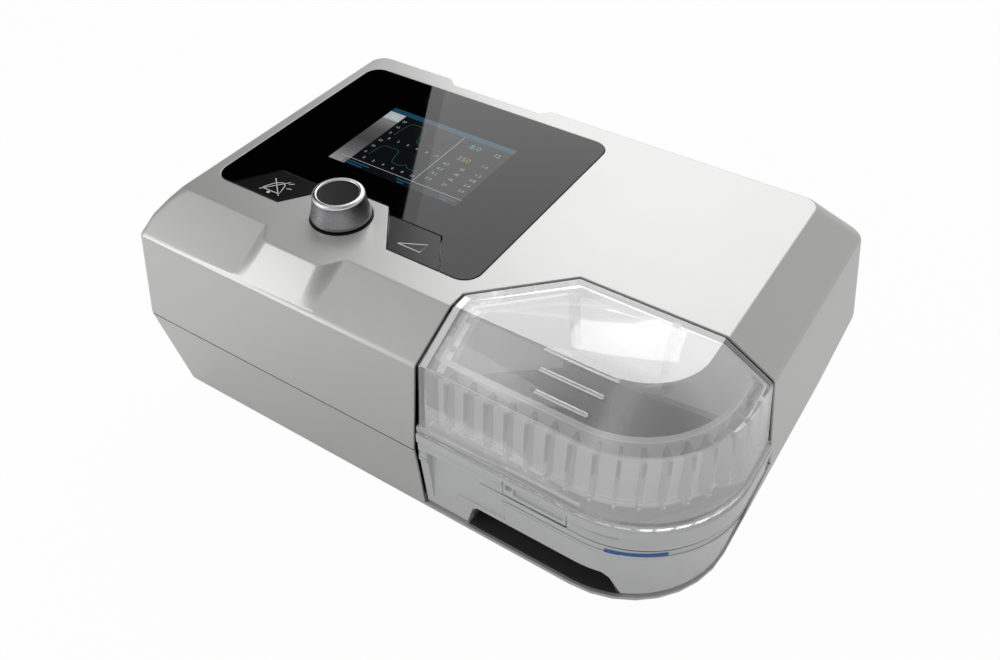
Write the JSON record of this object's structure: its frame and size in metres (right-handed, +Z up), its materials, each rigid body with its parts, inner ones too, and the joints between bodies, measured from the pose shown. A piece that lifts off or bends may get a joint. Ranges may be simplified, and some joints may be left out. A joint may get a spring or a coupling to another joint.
{
  "type": "bilevel pap machine",
  "caption": "Bedside breathing therapy machine with a sloped display case, a push and turn knob and a clear ribbed humidifier chamber that slides out of its front corner.",
  "frame": {"origin": "on the table, under the middle of the case's outline at the seam", "axes": "+X to the user's right, towards the chamber end; +Y to the rear; +Z up"},
  "size_m": [0.281, 0.184, 0.1165],
  "materials": {
    "silver_paint": "satin silver paint",
    "black_glass": "gloss",
    "display": "gloss",
    "board": "satin",
    "steel": "brushed",
    "black_plastic": "matt",
    "white_plastic": "matt",
    "knob_metal": "satin anodised",
    "key_plastic": "satin gloss",
    "card_plastic": "matt",
    "aluminium": "satin",
    "silicone": "matt silicone",
    "grey_plastic": "matt",
    "rubber": "matt",
    "motor": "satin",
    "foam": "open foam",
    "port_plastic": "satin",
    "cover_plastic": "satin silver paint",
    "filter_foam": "fibre pad",
    "clear_plastic": "clear, slightly frosted"
  },
  "bodies": {
    "machine": {"top_case": "silver_paint", "bay_wall_left": "silver_paint", "bay_wall_corner": "silver_paint", "bay_wall_rear": "silver_paint", "bottom_case": "silver_paint", "display_lens": "black_glass", "lcd_module": "display", "display_board": "board", "encoder_body": "steel", "knob_collar": "black_plastic", "key_switches": "black_plastic", "main_board": "board", "alarm_sounder": "black_plastic", "card_socket": "steel", "power_socket": "black_plastic", "dock_liner": "black_plastic", "heater_springs": "steel", "dock_gaskets": "silicone", "blower_housing": "grey_plastic", "blower_cover": "grey_plastic", "blower_mounts": "rubber", "motor_stator": "motor", "blower_boot": "silicone", "inlet_muffler": "grey_plastic", "muffler_foam": "foam", "inlet_duct": "grey_plastic", "air_duct": "grey_plastic", "pressure_sensor": "black_plastic", "outlet_port": "port_plastic", "air_filter": "filter_foam", "rubber_feet": "rubber", "case_screws": "steel"},
    "knob_press_stem": {"knob_plunger": "white_plastic"},
    "knob": {"knob_shell": "knob_metal", "knob_cap": "black_plastic", "knob_shaft": "steel"},
    "mute_button": {"mute_key": "key_plastic"},
    "ramp_button": {"ramp_key": "key_plastic"},
    "card": {"memory_card": "card_plastic"},
    "heater": {"heater_plate": "aluminium"},
    "blower_wheel": {"impeller": "white_plastic", "motor_rotor": "steel"},
    "filter_door": {"filter_cover": "cover_plastic"},
    "chamber": {"chamber_tub": "clear_plastic", "tub_foot": "clear_plastic", "chamber_base_plate": "aluminium", "grip_insert": "black_plastic", "lid_seal": "silicone"},
    "lid": {"chamber_lid": "clear_plastic"},
    "latch": {"lid_latch": "clear_plastic"}
  },
  "joints": [
    {"name": "knob_press", "type": "slide", "parent": "machine", "child": "knob_press_stem", "axis": [0, 0, -1], "range_m": [0, 0.0006], "stiffness_N_per_m": 2000, "springref_m": -0.0005},
    {"name": "knob_turn", "type": "hinge", "parent": "knob_press_stem", "child": "knob", "pos_m": [-0.0579, -0.0402, 0.11], "axis": [0, 0, 1], "continuous": true},
    {"name": "mute_press", "type": "slide", "parent": "machine", "child": "mute_button", "axis": [0, 0, -1], "range_m": [0, 0.0005], "stiffness_N_per_m": 1500, "springref_m": -0.0004},
    {"name": "ramp_press", "type": "slide", "parent": "machine", "child": "ramp_button", "axis": [0, 0, -1], "range_m": [0, 0.0005], "stiffness_N_per_m": 1500, "springref_m": -0.0004},
    {"name": "card_draw", "type": "slide", "parent": "machine", "child": "card", "axis": [-1, 0, 0], "range_m": [0, 0.034]},
    {"name": "heater_float", "type": "slide", "parent": "machine", "child": "heater", "axis": [0, 0, -1], "range_m": [0, 0.001], "stiffness_N_per_m": 6000, "springref_m": -0.001, "deforming": ["heater_springs"]},
    {"name": "blower_spin", "type": "hinge", "parent": "machine", "child": "blower_wheel", "pos_m": [0.088, 0.042, 0.03], "axis": [0, 0, 1], "continuous": true},
    {"name": "filter_cover_off", "type": "slide", "parent": "machine", "child": "filter_door", "axis": [0, 1, 0], "range_m": [0, 0.03]},
    {"name": "chamber_slide", "type": "slide", "parent": "machine", "child": "chamber", "axis": [0, -1, 0], "range_m": [0, 0.09]},
    {"name": "lid_lift", "type": "slide", "parent": "chamber", "child": "lid", "axis": [0, 0, 1], "range_m": [0, 0.06]},
    {"name": "latch_press", "type": "slide", "parent": "chamber", "child": "latch", "axis": [0, 1, 0], "range_m": [0, 0.0015], "stiffness_N_per_m": 2000, "springref_m": -0.0005}
  ]
}
